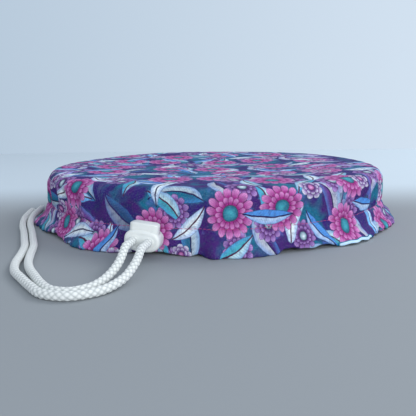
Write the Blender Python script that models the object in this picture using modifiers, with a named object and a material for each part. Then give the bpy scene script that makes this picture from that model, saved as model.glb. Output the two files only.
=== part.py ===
"""Drawstring bowl cover: a round of laminated cotton with a folded hem that holds a drawcord,
whose two ends run out through a sprung two-hole cord lock.

The cover stands on its hem, as it sits over a rim. Its middle is on the Z axis, apart from a small
shift in Y that centres the whole, and the hem's lowest folds are at Z = 0. The front is at -Y.
"""

import math

import bmesh
import bpy
from mathutils import Matrix, Vector

mm = 0.001

# Cover
rim_radius = 130 * mm
rim_height = 39 * mm
fabric = 0.8 * mm
rim_bend = 7 * mm
seat_width = 10 * mm
panel_sag = 3 * mm
wall_lean = 0.5 * mm
stitch_height = 15.3 * mm
hem_overlap = 1.3 * mm
layer_gap = 0.3 * mm
casing_flare = 1.5 * mm
hem_flare = 4.2 * mm
hem_roll = 1.0 * mm
# Turn of the hem from its outermost point, in rolls, then its inner layer about the cord, in reaches.
hem_turn = ((0.0, 1.0), (-0.4, 0.0), (-1.4, 0.0), (-3.2, 2.6))
inner_layer = ((0.24, -1.4), (-0.79, -0.79), (-1.0, 0.1), (-0.55, 0.97))
hem_shoulder = 1.6
panel_rings = (0.4, 0.75)
rim_turns = (90, 60, 30, 0)
turn_steps = 108

# Gathers
ruffle_count = 20
# The ruffles bunch up unevenly: times round the rim, strength and start of each drift.
ruffle_drift = ((2, 1.1, 0.7), (3, 0.9, 2.0))
ruffles_start = math.radians(55)
ruffles_full = math.radians(100)
wall_wave = 0.9 * mm
edge_wave = 2.3 * mm
edge_lift = 2.2 * mm
gathers_start = 3 * mm
edge_start = 3 * mm
edge_full = 2 * mm
seam_band = 1 * mm
side_flare = 4 * mm
side_flare_start = math.radians(8)
side_flare_full = math.radians(60)
# Each fold's place in degrees from the front, its half width and how far it stands out, in waves.
folds = (
    (-5.5, 7.5, 2.0),
    (1.4, 1.6, 1.6),
    (4.5, 1.8, -0.9),
    (16.5, 6.5, -0.85),
    (29.0, 4.5, 1.2),
    (37.0, 5.5, 2.2),
    (53.0, 6.0, -1.1),
    (74.0, 6.0, 1.25),
    (-18.0, 2.5, -1.2),
    (-22.5, 5.0, -0.6),
    (-29.0, 2.5, -0.9),
    (-36.5, 3.2, 0.8),
    (-43.0, 3.0, 0.6),
    (-53.0, 7.0, -0.5),
    (-70.0, 6.0, 0.35),
)

# Drawcord
cord_diameter = 4.5 * mm
cord_height = 11.2 * mm
channel_gap = 0.45 * mm
channel_slack = 0.2 * mm
cord_joint_gap = 0.4 * mm
cord_bend = 3.4 * mm
cord_bend_handle = 0.55
cord_point_spacing = 11 * mm
cord_rest_gap = 0.05 * mm
tail_length = 305 * mm
tail_length_difference = 6 * mm
buttonhole_clearance = 0.45 * mm
buttonhole_start = 0.35

# Cord lock
lock_angle = math.radians(17.5)
lock_turn = math.radians(10.0)
lock_tilt = math.radians(7.0)
lock_standoff = 0.6 * mm
slide_travel = 7 * mm
slide_run_out = 0.5 * mm
barrel_width = 20.8 * mm
barrel_height = 12.7 * mm
barrel_depth = 11.0 * mm
barrel_squareness = 2.5
barrel_round = 1.2 * mm
barrel_floor = 1.05 * mm
hole_spacing = 8.8 * mm
hole_clearance = 0.3 * mm
button_width = 16.7 * mm
button_depth = 7.6 * mm
button_corner = 2.6 * mm
button_round = 0.9 * mm
button_reach = 10.4 * mm
button_bridge = 0.75 * mm
button_clearance = 0.3 * mm
button_travel = 2.0 * mm
button_stop_gap = 0.15 * mm
spring_diameter = 2.4 * mm
spring_wire = 0.36 * mm
spring_turns = 8
spring_seat_gap = 0.1 * mm
spring_closed_ends = 0.25
pocket_clearance = 0.15 * mm
pocket_roof = 5.0 * mm
sharp_edge = math.radians(35)

# The two tails lie on the surface side by side. Each point gives the middle between them from the
# cover's middle, the height of their centres over and above half a cord, and how far apart they are.
tail_route = (
    (-47.0, -166.5, 5.0, 9.0),
    (-51.0, -179.0, 1.4, 8.8),
    (-58.0, -190.0, 0.0, 7.2),
    (-68.5, -196.0, 0.0, 5.4),
    (-80.0, -193.0, 0.0, 5.2),
    (-88.0, -183.5, 0.0, 5.2),
    (-95.5, -172.0, 0.0, 6.4),
    (-102.5, -160.5, 0.0, 7.4),
    (-107.5, -147.0, 0.0, 6.6),
    (-111.0, -131.0, 0.0, 5.3),
    (-115.0, -114.0, 0.0, 5.2),
    (-121.5, -96.0, 0.0, 5.2),
    (-128.5, -77.0, 0.0, 5.2),
    (-137.0, -55.5, 0.0, 5.2),
    (-144.0, -32.0, 0.0, 5.2),
    (-148.0, -7.0, 0.0, 5.2),
    (-150.0, 19.0, 0.0, 5.2),
    (-150.5, 45.0, 0.0, 5.2),
)

# Sizes that follow from those above
cord_radius = cord_diameter / 2
wall_radius = rim_radius - fabric / 2 - wall_lean
channel_reach = cord_radius + channel_gap + channel_slack + fabric / 2
ring_radius = wall_radius + casing_flare - channel_reach
hole_radius = cord_radius + hole_clearance
lock_reach = rim_radius + hem_flare + lock_standoff + barrel_depth / 2
front_reach = lock_reach * math.cos(lock_angle) + barrel_depth / 2
back_reach = rim_radius + hem_flare + side_flare + edge_wave + fabric / 2
centre_shift = (front_reach - back_reach) / 2
barrel_bottom = -(hole_radius + button_bridge + button_travel + button_stop_gap + barrel_floor)


def smooth(start, end, value):
    """Rises from 0 at start to 1 at end, level at both."""
    share = min(1.0, max(0.0, (value - start) / (end - start)))
    return share * share * (3 - 2 * share)


def around(radius, angle, height):
    """A point at an angle from the front, turning towards -X."""
    return Vector((-radius * math.sin(angle), -radius * math.cos(angle), height))


def gathering(angle):
    """How far the fabric stands out (above 0) or tucks in (below 0) at an angle from the front."""
    phase = ruffle_count * angle
    for times, strength, start in ruffle_drift:
        phase += strength * math.sin(times * angle + start)
    wave = smooth(ruffles_start, ruffles_full, abs(angle)) * math.cos(phase)
    for place, width, out in folds:
        apart = (math.degrees(angle) - place + 180) % 360 - 180
        wave += out * math.exp(-((apart / width) ** 2))
    return max(-1.0, wave)


def gathered(point):
    """Moves a point of the evenly turned cover to where the gathered fabric holds it."""
    radius = math.hypot(point.x, point.y)
    if radius < rim_radius / 2:
        return point
    angle = math.atan2(-point.x, -point.y)
    wave = gathering(angle)
    hang = smooth(rim_height - gathers_start, stitch_height, point.z)
    edge = smooth(cord_height - edge_start, edge_full, point.z)
    casing = smooth(stitch_height, stitch_height - seam_band, point.z) * (1 - edge)
    size = wall_wave + (edge_wave - wall_wave) * edge
    if radius > ring_radius:
        out = size * (wave + casing)
    else:
        out = size * (1 - casing / 2) * (wave - casing * max(1.0, wave))
    flare = side_flare * edge * smooth(side_flare_start, side_flare_full, abs(angle))
    stretch = 1 + (hang * out + flare) / radius
    lift = edge_lift * edge * max(0.0, -wave)
    return Vector((point.x * stretch, point.y * stretch, point.z + lift))


def fabric_line():
    """Radius and height of the middle of the fabric, from the panel's centre to the hem's raw edge."""
    top = rim_height - fabric / 2
    side = rim_radius - fabric / 2
    bend_centre = (side - rim_bend, top - rim_bend)
    seat_inner = bend_centre[0] - seat_width
    line = [(0.0, top - panel_sag)]
    for share in panel_rings:
        line.append((seat_inner * share, top - panel_sag * (1 - share * share) ** 2))
    line.append((seat_inner, top))
    for degrees in rim_turns:
        turn = math.radians(degrees)
        line.append((bend_centre[0] + rim_bend * math.cos(turn), bend_centre[1] + rim_bend * math.sin(turn)))
    line.append((wall_radius, stitch_height))
    line.append((ring_radius + channel_reach, cord_height))
    edge = rim_radius + hem_flare
    line.append((edge - hem_shoulder * hem_roll, cord_height / 2))
    for across, up in hem_turn:
        line.append((edge + across * hem_roll, fabric / 2 + up * hem_roll))
    for across, up in inner_layer:
        line.append((ring_radius + across * channel_reach, cord_height + up * channel_reach))
    inside = wall_radius - fabric - layer_gap
    line.append((inside, stitch_height + layer_gap))
    line.append((inside, stitch_height + hem_overlap))
    return line


def offset_line(line, distance):
    """The line moved sideways to its left by a distance, with mitred corners."""
    moved = []
    for i, (x, y) in enumerate(line):
        before = Vector(line[max(i - 1, 0)])
        here = Vector((x, y))
        after = Vector(line[min(i + 1, len(line) - 1)])
        sides = [step.normalized() for step in (here - before, after - here) if step.length > 0]
        normals = [Vector((-side.y, side.x)) for side in sides]
        across = sum(normals, Vector((0, 0))).normalized()
        reach = distance / across.dot(normals[0])
        moved.append(here + across * reach)
    return moved


def material(name, colour, roughness, sheen=0.0):
    made = bpy.data.materials.new(name)
    made.use_nodes = True
    shader = made.node_tree.nodes["Principled BSDF"]
    shader.inputs["Base Color"].default_value = (*colour, 1)
    shader.inputs["Roughness"].default_value = roughness
    shader.inputs["Metallic"].default_value = 0.0
    shader.inputs["Sheen Weight"].default_value = sheen
    made.diffuse_color = (*colour, 1)
    return made


def add_object(name, data, finish, place=None):
    item = bpy.data.objects.new(name, data)
    parts.objects.link(item)
    item.parent = stand
    if place is not None:
        item.matrix_local = place
    if finish is not None:
        data.materials.append(finish)
    return item


def as_cutter(item):
    parts.objects.unlink(item)
    cutters.objects.link(item)
    item.hide_render = True
    item.display_type = "WIRE"
    return item


def cut(item, cutter):
    taken = item.modifiers.new("cut by " + cutter.name, "BOOLEAN")
    taken.operation = "DIFFERENCE"
    taken.solver = "EXACT"
    taken.object = cutter


def plain_mesh(item):
    """Turns a curve or a modified object into one welded mesh object of the same name and place."""
    bpy.context.view_layer.update()
    evaluated = item.evaluated_get(bpy.context.evaluated_depsgraph_get())
    mesh = bpy.data.meshes.new_from_object(evaluated)
    shape = bmesh.new()
    shape.from_mesh(mesh)
    bmesh.ops.remove_doubles(shape, verts=shape.verts, dist=0.001 * mm)
    shape.to_mesh(mesh)
    shape.free()
    name = item.name
    place = item.matrix_local.copy()
    bpy.data.objects.remove(item)
    return add_object(name, mesh, None, place)


def tube(name, points, radius, finish, sides=2):
    curve = bpy.data.curves.new(name, "CURVE")
    curve.dimensions = "3D"
    curve.bevel_depth = radius
    curve.bevel_resolution = sides
    curve.use_fill_caps = True
    spline = curve.splines.new("POLY")
    spline.points.add(len(points) - 1)
    for spot, point in zip(spline.points, points):
        spot.co = (*point, 1)
    return add_object(name, curve, finish)


def flat_solid(name, outline, thickness, finish, place):
    """A flat outline in XY given a thickness in Z, about its middle."""
    curve = bpy.data.curves.new(name, "CURVE")
    curve.dimensions = "2D"
    curve.fill_mode = "BOTH"
    curve.extrude = thickness / 2
    spline = curve.splines.new("POLY")
    spline.points.add(len(outline) - 1)
    spline.use_cyclic_u = True
    for spot, (x, y) in zip(spline.points, outline):
        spot.co = (x, y, 0, 1)
    return plain_mesh(add_object(name, curve, finish, place))


def round_edges(item, size, chosen):
    """Rounds the edges of the object's mesh whose two ends both pass the test."""
    shape = bmesh.new()
    shape.from_mesh(item.data)
    edges = [e for e in shape.edges if chosen(e.verts[0].co) and chosen(e.verts[1].co)]
    rims = [e for e in edges if len(e.link_faces) == 2 and e.calc_face_angle(0) > math.radians(50)]
    bmesh.ops.bevel(shape, geom=rims, offset=size, segments=2, profile=0.5, affect="EDGES")
    shape.to_mesh(item.data)
    shape.free()


def rounded_rectangle(width, depth, corner, steps=4):
    outline = []
    for quarter in range(4):
        start = quarter * math.pi / 2
        x = (width / 2 - corner) * (1 if quarter in (0, 3) else -1)
        y = (depth / 2 - corner) * (1 if quarter in (0, 1) else -1)
        for step in range(steps + 1):
            turn = start + step * math.pi / 2 / steps
            outline.append((x + corner * math.cos(turn), y + corner * math.sin(turn)))
    return outline


def smooth_route(points, spacing):
    """Evenly spaced points on a smooth curve through the given ones."""
    padded = [2 * points[0] - points[1], *points, 2 * points[-1] - points[-2]]
    fine = []
    for a, b, c, d in zip(padded, padded[1:], padded[2:], padded[3:]):
        for step in range(24):
            t = step / 24
            fine.append(
                0.5 * (2 * b + (c - a) * t + (2 * a - 5 * b + 4 * c - d) * t**2
                       + (3 * b - a - 3 * c + d) * t**3)
            )
    fine.append(points[-1])
    return even_points(fine, spacing)


def even_points(fine, spacing, length=None):
    """Points at equal steps along a line, as far as its length or the one given."""
    run = [0.0]
    for a, b in zip(fine, fine[1:]):
        run.append(run[-1] + (b - a).length)
    total = run[-1] if length is None else length
    count = max(2, math.ceil(total / spacing))
    found = []
    at = 0
    for step in range(count + 1):
        goal = total * step / count
        while at < len(run) - 2 and run[at + 1] < goal:
            at += 1
        share = (goal - run[at]) / (run[at + 1] - run[at])
        found.append(fine[at].lerp(fine[at + 1], share))
    return found


def lock_frame():
    """The lock's own axes: X to the right seen from the front, Y inwards, Z up its button."""
    centre = around(lock_reach, lock_angle, cord_height)
    return (
        Matrix.Translation(centre)
        @ Matrix.Rotation(-lock_turn, 4, "Z")
        @ Matrix.Rotation(lock_tilt, 4, "Y")
    )


def ring_depth(side):
    """How far in from the lock's middle a hole's axis meets the drawcord's ring."""
    start = lock_frame() @ Vector((side * hole_spacing / 2, 0, 0))
    inward = lock_frame().to_3x3() @ Vector((0, 1, 0))
    along = start.xy.dot(inward.xy)
    return -along - math.sqrt(along**2 - start.xy.length_squared + ring_radius**2)


def cord_turn(side, share_from=0.0):
    """The bend from the casing's ring into a hole of the lock, from the ring outwards."""
    frame = lock_frame()
    depth = ring_depth(side)
    crossing = frame @ Vector((side * hole_spacing / 2, depth, 0))
    angle = math.atan2(-crossing.x, -crossing.y) - side * cord_bend / ring_radius
    start = around(ring_radius, angle, cord_height)
    tangent = (around(ring_radius, angle + side * 0.001, cord_height) - start).normalized()
    end = frame @ Vector((side * hole_spacing / 2, depth - cord_bend, 0))
    outward = frame.to_3x3() @ Vector((0, -1, 0))
    handle = cord_bend_handle * cord_bend
    a, b, c, d = start, start + tangent * handle, end - outward * handle, end
    bend = []
    for step in range(6):
        t = share_from + (1 - share_from) * step / 5
        bend.append(a * (1 - t) ** 3 + b * 3 * t * (1 - t) ** 2 + c * 3 * t * t * (1 - t) + d * t**3)
    return angle, bend


def make_cover():
    line = fabric_line()
    outline = offset_line(line, fabric / 2) + offset_line(line, -fabric / 2)[::-1]
    outline[0].x = 0.0
    outline[-1].x = 0.0
    mesh = bpy.data.meshes.new("cover")
    edges = [(i, i + 1) for i in range(len(outline) - 1)]
    mesh.from_pydata([(x, 0, z) for x, z in outline], edges, [])
    cover = add_object("cover", mesh, print_fabric)
    turn = cover.modifiers.new("turn", "SCREW")
    turn.angle = 2 * math.pi
    turn.steps = turn_steps
    turn.render_steps = turn_steps
    turn.use_merge_vertices = True
    turn.merge_threshold = 0.001 * mm
    cover = plain_mesh(cover)
    for vertex in cover.data.vertices:
        vertex.co = gathered(vertex.co)
    cover.data.shade_smooth()
    for side, name in ((-1, "left_buttonhole"), (1, "right_buttonhole")):
        bend = cord_turn(side, buttonhole_start)[1]
        outward = lock_frame().to_3x3() @ Vector((0, -1, 0))
        bend.append(bend[-1] + outward * 2 * cord_diameter)
        cutter = plain_mesh(tube(name, bend, cord_radius + buttonhole_clearance, None))
        cut(cover, as_cutter(cutter))


def make_drawcord():
    left_angle, left_bend = cord_turn(-1)
    right_angle, right_bend = cord_turn(1)
    sweep = 2 * math.pi - (left_angle - right_angle)
    steps = math.ceil(sweep * ring_radius / cord_point_spacing)
    ring = [around(ring_radius, left_angle + sweep * i / steps, cord_height) for i in range(1, steps)]
    tube("drawcord", left_bend[::-1] + ring + right_bend, cord_radius, cord_white)


def make_tails():
    frame = lock_frame()
    ground = cord_radius + cord_rest_gap
    middle = [Vector((x, y)) * mm for x, y, lift, apart in tail_route]
    for side, name in ((-1, "cord_tail_left"), (1, "cord_tail_right")):
        depth = ring_depth(side) - cord_bend - cord_joint_gap
        front = -barrel_depth / 2
        slid = front - slide_travel
        depths = (depth, 0, front, slid - slide_run_out, slid - slide_travel)
        straight = [frame @ Vector((side * hole_spacing / 2, y, 0)) for y in depths]
        laid = []
        for i, (x, y, lift, apart) in enumerate(tail_route):
            ahead = (middle[min(i + 1, len(middle) - 1)] - middle[max(i - 1, 0)]).normalized()
            left = Vector((-ahead.y, ahead.x))
            spot = middle[i] + left * side * apart * mm / 2
            laid.append(Vector((*spot, ground + lift * mm)))
        fine = smooth_route(straight + laid, 1 * mm)
        for point in fine:
            point.z = max(point.z, ground)
        length = tail_length + (tail_length_difference if side == 1 else 0)
        tube(name, even_points(fine, cord_point_spacing, length), cord_radius, cord_white)


def make_barrel():
    frame = lock_frame()
    facing = frame @ Matrix.Rotation(math.pi / 2, 4, "X")
    top = -barrel_bottom
    outline = []
    for step in range(44):
        turn = 2 * math.pi * step / 44
        x = abs(math.cos(turn)) ** (2 / barrel_squareness) * math.copysign(1, math.cos(turn))
        z = abs(math.sin(turn)) ** (2 / barrel_squareness) * math.copysign(1, math.sin(turn))
        outline.append((x * barrel_width / 2, z * (barrel_height / 2 if z > 0 else top)))
    barrel = flat_solid("lock_barrel", outline, barrel_depth, lock_white, facing)
    round_edges(barrel, barrel_round, lambda p: abs(abs(p.z) - barrel_depth / 2) < 0.01 * mm)
    height = 2 * button_reach
    inside_floor = barrel_bottom + barrel_floor
    well = flat_solid(
        "barrel_well",
        rounded_rectangle(
            button_width + 2 * button_clearance, button_depth + 2 * button_clearance,
            button_corner + button_clearance,
        ),
        height, None, frame @ Matrix.Translation((0, 0, inside_floor + height / 2)),
    )
    cut(barrel, as_cutter(well))
    for side, name in ((-1, "barrel_hole_left"), (1, "barrel_hole_right")):
        hole = slot_cutter(name, side, 0.0, barrel_depth * 2, frame)
        cut(barrel, as_cutter(hole))
    barrel.data.shade_smooth()
    barrel.data.set_sharp_from_angle(angle=sharp_edge)


def slot_cutter(name, side, extra, length, frame):
    """A round hole along Y, drawn out upwards by an extra height."""
    outline = []
    for step in range(24):
        turn = 2 * math.pi * (step + 0.5) / 24
        rise = extra if math.sin(turn) > 0 else 0.0
        outline.append((side * hole_spacing / 2 + hole_radius * math.cos(turn),
                        rise + hole_radius * math.sin(turn)))
    return flat_solid(name, outline, length, None, frame @ Matrix.Rotation(math.pi / 2, 4, "X"))


def make_button():
    frame = lock_frame()
    bottom = -hole_radius - button_bridge
    height = button_reach - bottom
    button = flat_solid(
        "lock_button", rounded_rectangle(button_width, button_depth, button_corner),
        height, lock_white, frame @ Matrix.Translation((0, 0, bottom + height / 2)),
    )
    round_edges(button, button_round, lambda p: abs(p.z - height / 2) < 0.01 * mm)
    button.data.transform(Matrix.Translation((0, 0, bottom + height / 2)))
    button.matrix_local = frame
    for side, name in ((-1, "button_slot_left"), (1, "button_slot_right")):
        cut(button, as_cutter(slot_cutter(name, side, button_travel, button_depth * 2, frame)))
    pocket_radius = spring_diameter / 2 + pocket_clearance
    pocket_height = pocket_roof - bottom + button_depth
    shape = bmesh.new()
    bmesh.ops.create_cone(
        shape, cap_ends=True, segments=16, radius1=pocket_radius, radius2=pocket_radius,
        depth=pocket_height,
    )
    mesh = bpy.data.meshes.new("spring_pocket")
    shape.to_mesh(mesh)
    shape.free()
    place = frame @ Matrix.Translation((0, 0, pocket_roof - pocket_height / 2))
    cut(button, as_cutter(add_object("spring_pocket", mesh, None, place)))
    button.data.shade_smooth()
    button.data.set_sharp_from_angle(angle=sharp_edge)


def make_spring():
    frame = lock_frame()
    radius = (spring_diameter - spring_wire) / 2
    low = barrel_bottom + barrel_floor + spring_seat_gap + spring_wire / 2
    high = pocket_roof - spring_seat_gap - spring_wire / 2
    per_turn = 8
    points = []
    for step in range(spring_turns * per_turn + 1):
        turn = 2 * math.pi * step / per_turn
        share = step / (spring_turns * per_turn)
        rise = share + (smooth(0, 1, share) - share) * spring_closed_ends
        spot = Vector((radius * math.cos(turn), radius * math.sin(turn), low + (high - low) * rise))
        points.append(frame @ spot)
    tube("lock_spring", points, spring_wire / 2, spring_steel)


for item in list(bpy.data.objects):
    bpy.data.objects.remove(item)

parts = bpy.data.collections.new("bowl_cover")
cutters = bpy.data.collections.new("cutters")
bpy.context.scene.collection.children.link(parts)
bpy.context.scene.collection.children.link(cutters)
stand = bpy.data.objects.new("stand", None)
stand.location = (0, centre_shift, 0)
parts.objects.link(stand)

print_fabric = material("printed laminated cotton", (0.16, 0.13, 0.33), 0.6, sheen=0.2)
cord_white = material("white braided cord", (0.82, 0.83, 0.82), 0.75)
lock_white = material("white moulded plastic", (0.86, 0.87, 0.86), 0.35)
spring_steel = material("spring steel", (0.55, 0.55, 0.56), 0.3)
spring_steel.node_tree.nodes["Principled BSDF"].inputs["Metallic"].default_value = 1.0

make_cover()
make_drawcord()
make_tails()
make_barrel()
make_button()
make_spring()
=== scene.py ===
import math

import bmesh
import bpy
import numpy as np
from mathutils import Matrix, Vector


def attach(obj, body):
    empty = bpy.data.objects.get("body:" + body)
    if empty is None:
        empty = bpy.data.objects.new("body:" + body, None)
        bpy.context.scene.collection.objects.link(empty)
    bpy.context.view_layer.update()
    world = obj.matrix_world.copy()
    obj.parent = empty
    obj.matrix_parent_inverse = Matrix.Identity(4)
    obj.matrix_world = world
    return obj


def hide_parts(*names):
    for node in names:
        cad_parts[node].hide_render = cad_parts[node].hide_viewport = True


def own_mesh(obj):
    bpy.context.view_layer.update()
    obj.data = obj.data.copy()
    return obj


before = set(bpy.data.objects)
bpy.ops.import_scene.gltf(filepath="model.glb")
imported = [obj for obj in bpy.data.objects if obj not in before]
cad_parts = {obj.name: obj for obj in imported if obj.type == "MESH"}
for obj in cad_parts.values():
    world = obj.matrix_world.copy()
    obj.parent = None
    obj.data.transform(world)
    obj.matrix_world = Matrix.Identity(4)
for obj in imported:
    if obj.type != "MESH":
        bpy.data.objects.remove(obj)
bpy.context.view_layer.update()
mm = 0.001

# Camera: it stands in front of the cover and a little above its panel, where the photograph was
# taken from, and its lens is given in pixels of a square frame. The cover's and the lock's reach
# stand here too, because they set where the middle of the whole lies.
view_width = 416
focal_pixels = 505
sensor_width = 36
camera_aside = -5.7 * mm
camera_away = 411.7 * mm
camera_height = 83.2 * mm
look_down = math.radians(11.1)
roll = math.radians(-0.7)
rim_radius = 130 * mm
fabric = 0.8 * mm
hem_flare = 4.2 * mm
side_flare = 4 * mm
edge_wave = 2.3 * mm
lock_standoff = 0.6 * mm
lock_angle = math.radians(17.5)
barrel_depth = 11.0 * mm
lock_reach = rim_radius + hem_flare + lock_standoff + barrel_depth / 2
front_reach = lock_reach * math.cos(lock_angle) + barrel_depth / 2
back_reach = rim_radius + hem_flare + side_flare + edge_wave + fabric / 2
centre_shift = (front_reach - back_reach) / 2


def add_to_scene(name, data):
    """A new object with this data, linked into the scene."""
    item = bpy.data.objects.new(name, data)
    bpy.context.scene.collection.objects.link(item)
    return item


camera = add_to_scene("camera", bpy.data.cameras.new("camera"))
camera.data.sensor_width = sensor_width
camera.data.lens = sensor_width * focal_pixels / view_width
camera.matrix_world = (
    Matrix.Translation((camera_aside, centre_shift - camera_away, camera_height))
    @ Matrix.Rotation(math.pi / 2 - look_down, 4, "X")
    @ Matrix.Rotation(roll, 4, "Z")
)
bpy.context.scene.camera = camera
bpy.context.scene.view_settings.view_transform = "Standard"

# Floor and backdrop: one plain sheet, grey in front and paler towards the back, under a pale sky
# that is a little darker on the left, as painted shade, with two soft lamps.
sky_light_colour = (0.80, 0.88, 1.0)
sky_light_strength = 0.62
# Painted shade: the sky seen behind the cover is darker on the left than on the right.
sky_left = (0.48, 0.59, 0.71)
sky_right = (0.65, 0.76, 0.88)
sky_blend_reach = 0.38
floor_near = (0.29, 0.32, 0.345)
floor_far = (0.61, 0.71, 0.785)
floor_fade = (-20 * mm, 150 * mm)
floor_half_width, floor_front, floor_end = 2.0, -3.5, 0.6
lamp_target = Vector((0, 0, 0.02))


def is_socket(value):
    return isinstance(value, bpy.types.NodeSocket)


def add_node(tree, kind, given=None, **settings):
    """A node with its settings, and with sockets joined to its inputs or values written there."""
    made = tree.nodes.new(kind)
    for name, value in settings.items():
        setattr(made, name, value)
    for name, value in (given or {}).items():
        if is_socket(value):
            tree.links.new(value, made.inputs[name])
        else:
            made.inputs[name].default_value = value
    return made


def tree_of(*values):
    """The node tree that the first socket among some values is in."""
    return next(value.id_data for value in values if is_socket(value))


def new_material(name, given):
    """A material and its shader, with values written to the shader's inputs."""
    made = bpy.data.materials.new(name)
    made.use_nodes = True
    shader = made.node_tree.nodes["Principled BSDF"]
    for key, value in given.items():
        shader.inputs[key].default_value = value
    return made, shader


def feed(shader, name, socket):
    """Joins a socket to one of the shader's inputs."""
    shader.id_data.links.new(socket, shader.inputs[name])


def texture_point(tree, kind="Object"):
    return add_node(tree, "ShaderNodeTexCoord").outputs[kind]


def split_up(vector):
    """The three coordinates of a vector."""
    return add_node(vector.id_data, "ShaderNodeSeparateXYZ", {0: vector}).outputs


def ramp(value, low, high, kind="LINEAR"):
    """0 at low and 1 at high."""
    given = {"Value": value, "From Min": low, "From Max": high}
    made = add_node(value.id_data, "ShaderNodeMapRange", given, interpolation_type=kind)
    return made.outputs[0]


def blend(share, first, second):
    """A colour between two, which are colours or sockets, at a share of the way."""
    ends = [(*value, 1) if isinstance(value, tuple) else value for value in (first, second)]
    given = {0: share, 6: ends[0], 7: ends[1]}
    tree = tree_of(share, first, second)
    return add_node(tree, "ShaderNodeMix", given, data_type="RGBA").outputs[2]


def mesh_object(name, points, faces, edges=()):
    """A new object whose mesh has these points, and faces or edges between them."""
    mesh = bpy.data.meshes.new(name)
    mesh.from_pydata(points, edges, faces)
    mesh.update()
    return add_to_scene(name, mesh)


world = bpy.data.worlds.new("sky")
bpy.context.scene.world = world
world.use_nodes = True
sky = world.node_tree
sky_light = sky.nodes["Background"]
sky_light.inputs["Color"].default_value = (*sky_light_colour, 1)
sky_light.inputs["Strength"].default_value = sky_light_strength
sky_share = ramp(split_up(texture_point(sky, "Generated"))["X"], -sky_blend_reach, sky_blend_reach)
sky_seen = add_node(sky, "ShaderNodeBackground",
                    {"Color": blend(sky_share, sky_left, sky_right)})
camera_ray = add_node(sky, "ShaderNodeLightPath").outputs["Is Camera Ray"]
sky_mix = add_node(sky, "ShaderNodeMixShader",
                   {"Fac": camera_ray, 1: sky_light.outputs[0], 2: sky_seen.outputs[0]})
sky.links.new(sky_mix.outputs[0], sky.nodes["World Output"].inputs["Surface"])

floor_material, shader = new_material("pale floor", {"Roughness": 0.75})
floor_share = ramp(split_up(texture_point(shader.id_data))["Y"], *floor_fade, "SMOOTHSTEP")
feed(shader, "Base Color", blend(floor_share, floor_near, floor_far))
floor_corners = [(-floor_half_width, floor_front, 0), (floor_half_width, floor_front, 0),
                 (floor_half_width, floor_end, 0), (-floor_half_width, floor_end, 0)]
floor = mesh_object("floor", floor_corners, [(0, 1, 2, 3)])
floor.data.materials.append(floor_material)


def soft_lamp(name, place, size, power, tint):
    """A round lamp that faces the cover."""
    lamp = bpy.data.lights.new(name, "AREA")
    lamp.shape = "DISK"
    lamp.size = size
    lamp.energy = power
    lamp.color = tint
    item = add_to_scene(name, lamp)
    item.location = place
    item.rotation_euler = (lamp_target - item.location).to_track_quat("-Z", "Y").to_euler()


soft_lamp("window", (0.9, 0.5, 1.1), 0.8, 9, (0.97, 0.99, 1.0))
soft_lamp("room", (0.6, -1.4, 0.55), 1.1, 15, (1.0, 0.99, 0.98))

# Drawcord tails: the two ends of a white diamond-braided polyester cord, 4.5 mm thick, which
# leave the hem through buttonholes, run through the lock and lie side by side on the surface.
rim_height = 39 * mm
wall_lean = 0.5 * mm
stitch_height = 15.3 * mm
casing_flare = 1.5 * mm
cord_radius = 2.25 * mm
cord_height = 11.2 * mm
cord_play = 0.65 * mm
channel_reach = cord_radius + cord_play + fabric / 2
wall_radius = rim_radius - fabric / 2 - wall_lean
ring_radius = wall_radius + casing_flare - channel_reach
lock_turn = math.radians(10.0)
lock_tilt = math.radians(7.0)
hole_spacing = 8.8 * mm
slide_travel = 7 * mm
slide_run_out = 0.5 * mm
cord_bend = 3.4 * mm
cord_bend_handle = 0.55
cord_joint_gap = 0.4 * mm
ground = cord_radius + 0.05 * mm
route_steps = 24
tail_steps = 860
braid_carriers = 4
braid_cell = 3.2 * mm
braid_low, braid_rise = 0.87, 0.17
end_taper, end_taper_length = 0.35, 0.9 * mm
end_dome = 0.2 * mm
end_relief = 0.6
cord_shaded = (0.34, 0.38, 0.39)
cord_lit = (0.83, 0.87, 0.86)
tail_length = 305 * mm
tail_length_difference = 6 * mm
# The line between the two tails, from the cover's middle: across, along, how high it is lifted
# and how far apart the tails lie, in mm.
tail_route = (
    (-47.0, -166.5, 5.0, 9.0),
    (-51.0, -179.0, 1.4, 8.8),
    (-58.0, -190.0, 0.0, 7.2),
    (-68.5, -196.0, 0.0, 5.4),
    (-80.0, -193.0, 0.0, 5.2),
    (-88.0, -183.5, 0.0, 5.2),
    (-95.5, -172.0, 0.0, 6.4),
    (-102.5, -160.5, 0.0, 7.4),
    (-107.5, -147.0, 0.0, 6.6),
    (-111.0, -131.0, 0.0, 5.3),
    (-115.0, -114.0, 0.0, 5.2),
    (-121.5, -96.0, 0.0, 5.2),
    (-128.5, -77.0, 0.0, 5.2),
    (-137.0, -55.5, 0.0, 5.2),
    (-144.0, -32.0, 0.0, 5.2),
    (-148.0, -7.0, 0.0, 5.2),
    (-150.0, 19.0, 0.0, 5.2),
    (-150.5, 45.0, 0.0, 5.2),
)
lock_frame = (
    Matrix.Translation((-lock_reach * math.sin(lock_angle),
                        centre_shift - lock_reach * math.cos(lock_angle), cord_height))
    @ Matrix.Rotation(-lock_turn, 4, "Z")
    @ Matrix.Rotation(lock_tilt, 4, "Y")
)


def smooth_route(points):
    """A smooth curve through the given points, as many short steps."""
    padded = [2 * points[0] - points[1], *points, 2 * points[-1] - points[-2]]
    fine = []
    for a, b, c, d in zip(padded, padded[1:], padded[2:], padded[3:]):
        for step in range(route_steps):
            t = step / route_steps
            fine.append(
                0.5 * (2 * b + (c - a) * t + (2 * a - 5 * b + 4 * c - d) * t**2
                       + (3 * b - a - 3 * c + d) * t**3)
            )
    fine.append(points[-1])
    return fine


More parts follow.
